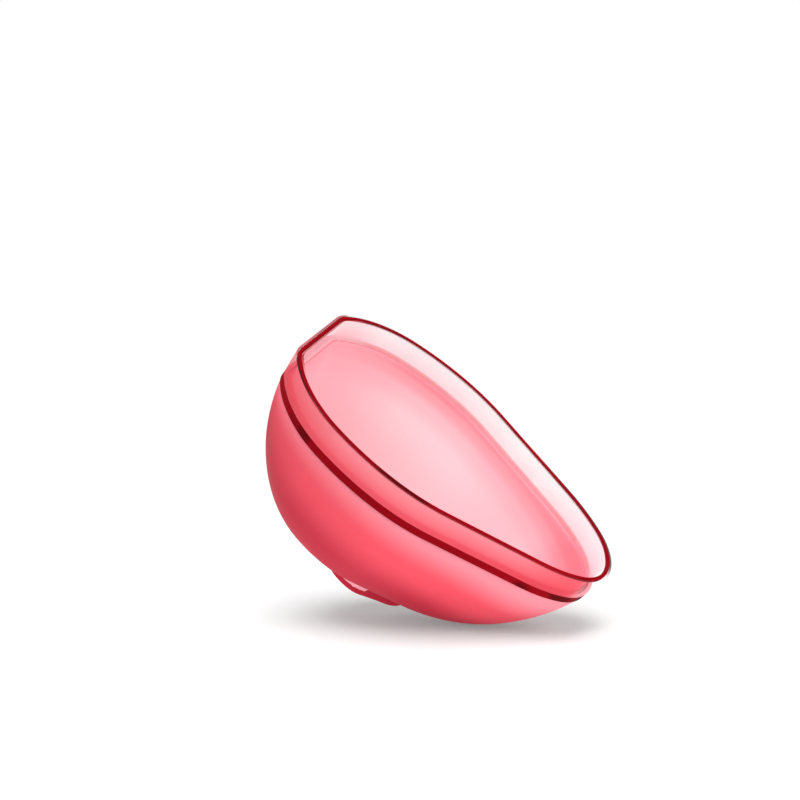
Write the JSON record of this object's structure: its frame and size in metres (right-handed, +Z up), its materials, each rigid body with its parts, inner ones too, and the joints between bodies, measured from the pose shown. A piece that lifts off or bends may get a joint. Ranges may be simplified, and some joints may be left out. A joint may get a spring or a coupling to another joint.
{
  "type": "silicone cupping cup",
  "caption": "Hand-squeezed cupping cup: egg-shaped soft bowl with a clear wall round its mouth, a lip bead, a clamping band and a foot pad.",
  "frame": {"origin": "on the foot pad's lower face, below the middle of the cup's length and width", "axes": "+Z up out of the mouth, +X from the flat end to the round nose, +Y to the left; the XZ plane is the plane of symmetry"},
  "size_m": [0.0808, 0.055, 0.0417],
  "materials": {
    "bowl_silicone": "smooth translucent coral silicone, satin gloss",
    "clear_wall": "clear, faintly pink, glossy",
    "seal_silicone": "dark red silicone, glossy"
  },
  "bodies": {
    "cup": {"bowl": "bowl_silicone", "rim_collar": "clear_wall", "lip_bead": "seal_silicone", "joint_band": "seal_silicone"},
    "crown": {"foot_pad": "bowl_silicone"}
  },
  "joints": [
    {"name": "crown_press", "type": "slide", "parent": "cup", "child": "crown", "axis": [0, 0, 1], "range_m": [0, 0.012], "stiffness_N_per_m": 1500, "deforming": ["bowl"]}
  ]
}
